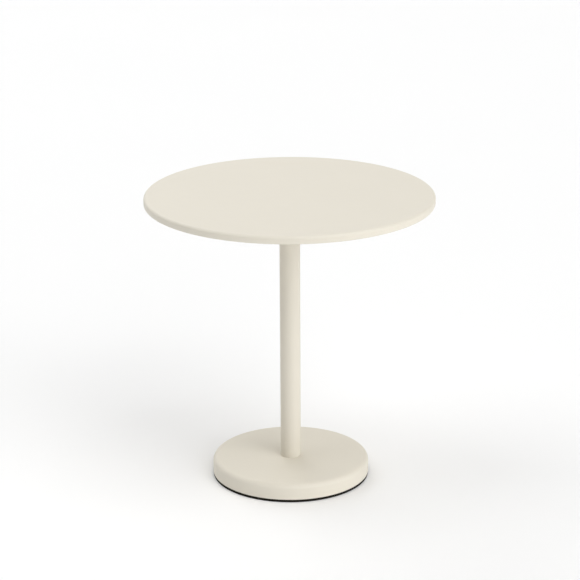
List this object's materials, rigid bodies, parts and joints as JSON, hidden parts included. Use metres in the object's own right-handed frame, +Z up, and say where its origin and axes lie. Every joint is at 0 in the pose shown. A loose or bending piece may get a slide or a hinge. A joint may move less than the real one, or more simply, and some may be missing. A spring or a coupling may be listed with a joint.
{
  "type": "bistro table",
  "caption": "Round pedestal cafe table: pressed steel top with a turned-down rim, straight tube column, weighted disc base with a rubber ring and levelling feet.",
  "frame": {"origin": "on the floor under the column's axis, with the four levelling feet screwed fully in", "axes": "+Z up along the column's axis; X and Y run along the stiffening ribs under the top; the feet are on the diagonals"},
  "size_m": [0.6999, 0.7, 0.72],
  "materials": {
    "powder_coat": "fine matt powder coat, warm off-white",
    "black_paint": "black dip primer",
    "zinc_plate": "bright zinc plate",
    "edge_rubber": "matt extruded rubber",
    "cast_iron": "as cast, black lacquered",
    "glide_nylon": "moulded black nylon"
  },
  "bodies": {
    "table": {"top_shell": "powder_coat", "top_rib_1": "powder_coat", "top_rib_2": "powder_coat", "top_rib_3": "powder_coat", "top_rib_4": "powder_coat", "top_weld_nuts": "zinc_plate", "cross_plate": "black_paint", "cross_plate_hub": "black_paint", "cross_plate_screws": "zinc_plate", "column_tube": "powder_coat", "column_foot_bush": "zinc_plate", "tie_rod": "zinc_plate", "tie_rod_washer": "zinc_plate", "tie_rod_spring_washer": "zinc_plate", "tie_rod_nut": "zinc_plate", "base_cover": "powder_coat", "base_ring": "edge_rubber", "base_weight": "cast_iron"},
    "foot_1_glide": {"foot_pad_1": "glide_nylon"},
    "foot_1_screw": {"foot_stem_1": "zinc_plate"},
    "foot_2_glide": {"foot_pad_2": "glide_nylon"},
    "foot_2_screw": {"foot_stem_2": "zinc_plate"},
    "foot_3_glide": {"foot_pad_3": "glide_nylon"},
    "foot_3_screw": {"foot_stem_3": "zinc_plate"},
    "foot_4_glide": {"foot_pad_4": "glide_nylon"},
    "foot_4_screw": {"foot_stem_4": "zinc_plate"}
  },
  "joints": [
    {"name": "foot_1_travel", "type": "slide", "parent": "table", "child": "foot_1_glide", "axis": [0, 0, -1], "range_m": [0, 0.009]},
    {"name": "foot_1_turn", "type": "hinge", "parent": "foot_1_glide", "child": "foot_1_screw", "pos_m": [0.10465, 0.10465, 0.0021], "axis": [0, 0, -1], "range_deg": [0, 2160]},
    {"name": "foot_2_travel", "type": "slide", "parent": "table", "child": "foot_2_glide", "axis": [0, 0, -1], "range_m": [0, 0.009]},
    {"name": "foot_2_turn", "type": "hinge", "parent": "foot_2_glide", "child": "foot_2_screw", "pos_m": [-0.10465, 0.10465, 0.0021], "axis": [0, 0, -1], "range_deg": [0, 2160]},
    {"name": "foot_3_travel", "type": "slide", "parent": "table", "child": "foot_3_glide", "axis": [0, 0, -1], "range_m": [0, 0.009]},
    {"name": "foot_3_turn", "type": "hinge", "parent": "foot_3_glide", "child": "foot_3_screw", "pos_m": [-0.10465, -0.10465, 0.0021], "axis": [0, 0, -1], "range_deg": [0, 2160]},
    {"name": "foot_4_travel", "type": "slide", "parent": "table", "child": "foot_4_glide", "axis": [0, 0, -1], "range_m": [0, 0.009]},
    {"name": "foot_4_turn", "type": "hinge", "parent": "foot_4_glide", "child": "foot_4_screw", "pos_m": [0.10465, -0.10465, 0.0021], "axis": [0, 0, -1], "range_deg": [0, 2160]}
  ],
  "couplings": [
    {"joint": "foot_1_turn", "follows": "foot_1_travel", "rad_per_m": 4188.8},
    {"joint": "foot_2_turn", "follows": "foot_2_travel", "rad_per_m": 4188.8},
    {"joint": "foot_3_turn", "follows": "foot_3_travel", "rad_per_m": 4188.8},
    {"joint": "foot_4_turn", "follows": "foot_4_travel", "rad_per_m": 4188.8}
  ]
}
